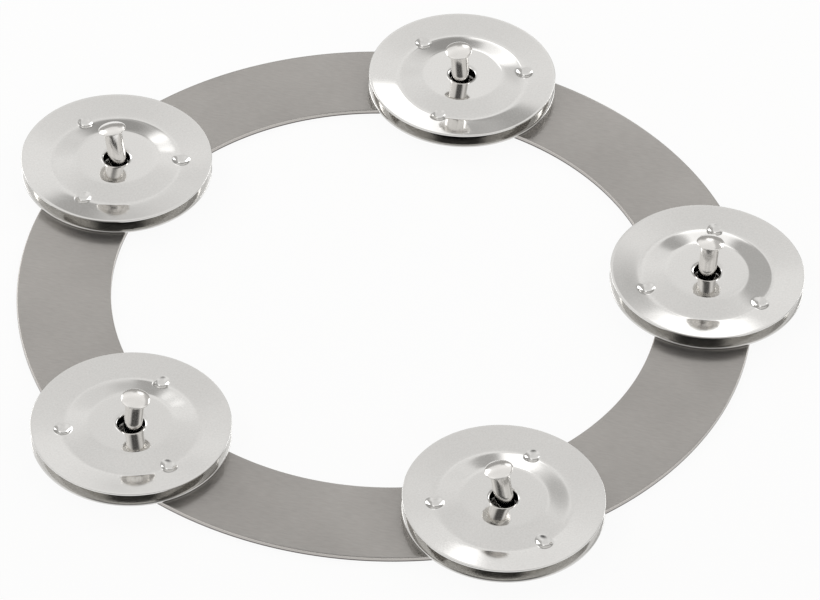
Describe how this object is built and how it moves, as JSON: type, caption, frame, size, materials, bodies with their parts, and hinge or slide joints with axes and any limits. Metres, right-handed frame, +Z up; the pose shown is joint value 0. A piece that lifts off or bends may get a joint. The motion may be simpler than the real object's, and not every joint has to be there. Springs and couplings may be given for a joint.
{
  "type": "ching ring",
  "caption": "Flat steel ring that lies on a hi-hat around its bell, with headed pins on the band that each carry a loose pair of pressed jingles.",
  "frame": {"origin": "centre of the ring, on its underside", "axes": "+Z up, out of the ring's plane towards the pins' heads; +Y through the first pin"},
  "size_m": [0.1682, 0.1636, 0.0122],
  "materials": {
    "ring_plate": "matte tumbled steel plate",
    "pin_steel": "bright plated steel",
    "jingle_sheet": "polished pressed stainless sheet"
  },
  "bodies": {
    "ring": {"ring": "ring_plate", "pin_1": "pin_steel", "pin_2": "pin_steel", "pin_3": "pin_steel", "pin_4": "pin_steel", "pin_5": "pin_steel"},
    "lower_jingle_1": {"lower_jingle_1": "jingle_sheet"},
    "upper_jingle_1": {"upper_jingle_1": "jingle_sheet"},
    "lower_jingle_2": {"lower_jingle_2": "jingle_sheet"},
    "upper_jingle_2": {"upper_jingle_2": "jingle_sheet"},
    "lower_jingle_3": {"lower_jingle_3": "jingle_sheet"},
    "upper_jingle_3": {"upper_jingle_3": "jingle_sheet"},
    "lower_jingle_4": {"lower_jingle_4": "jingle_sheet"},
    "upper_jingle_4": {"upper_jingle_4": "jingle_sheet"},
    "lower_jingle_5": {"lower_jingle_5": "jingle_sheet"},
    "upper_jingle_5": {"upper_jingle_5": "jingle_sheet"}
  },
  "joints": [
    {"name": "pair_1_spin", "type": "hinge", "parent": "ring", "child": "lower_jingle_1", "pos_m": [-0.00027, 0.06722, 0.0027], "axis": [0, 0, 1], "continuous": true},
    {"name": "upper_jingle_1_lift", "type": "slide", "parent": "lower_jingle_1", "child": "upper_jingle_1", "axis": [0, 0, 1], "range_m": [0, 0.0047]},
    {"name": "pair_2_spin", "type": "hinge", "parent": "ring", "child": "lower_jingle_2", "pos_m": [-0.06429, 0.02093, 0.0027], "axis": [0, 0, 1], "continuous": true},
    {"name": "upper_jingle_2_lift", "type": "slide", "parent": "lower_jingle_2", "child": "upper_jingle_2", "axis": [0, 0, 1], "range_m": [0, 0.0029]},
    {"name": "pair_3_spin", "type": "hinge", "parent": "ring", "child": "lower_jingle_3", "pos_m": [-0.03855, -0.05448, 0.0027], "axis": [0, 0, 1], "continuous": true},
    {"name": "upper_jingle_3_lift", "type": "slide", "parent": "lower_jingle_3", "child": "upper_jingle_3", "axis": [0, 0, 1], "range_m": [0, 0.0047]},
    {"name": "pair_4_spin", "type": "hinge", "parent": "ring", "child": "lower_jingle_4", "pos_m": [0.03827, -0.05441, 0.0027], "axis": [0, 0, 1], "continuous": true},
    {"name": "upper_jingle_4_lift", "type": "slide", "parent": "lower_jingle_4", "child": "upper_jingle_4", "axis": [0, 0, 1], "range_m": [0, 0.0033]},
    {"name": "pair_5_spin", "type": "hinge", "parent": "ring", "child": "lower_jingle_5", "pos_m": [0.06367, 0.02078, 0.0027], "axis": [0, 0, 1], "continuous": true},
    {"name": "upper_jingle_5_lift", "type": "slide", "parent": "lower_jingle_5", "child": "upper_jingle_5", "axis": [0, 0, 1], "range_m": [0, 0.0043]}
  ]
}
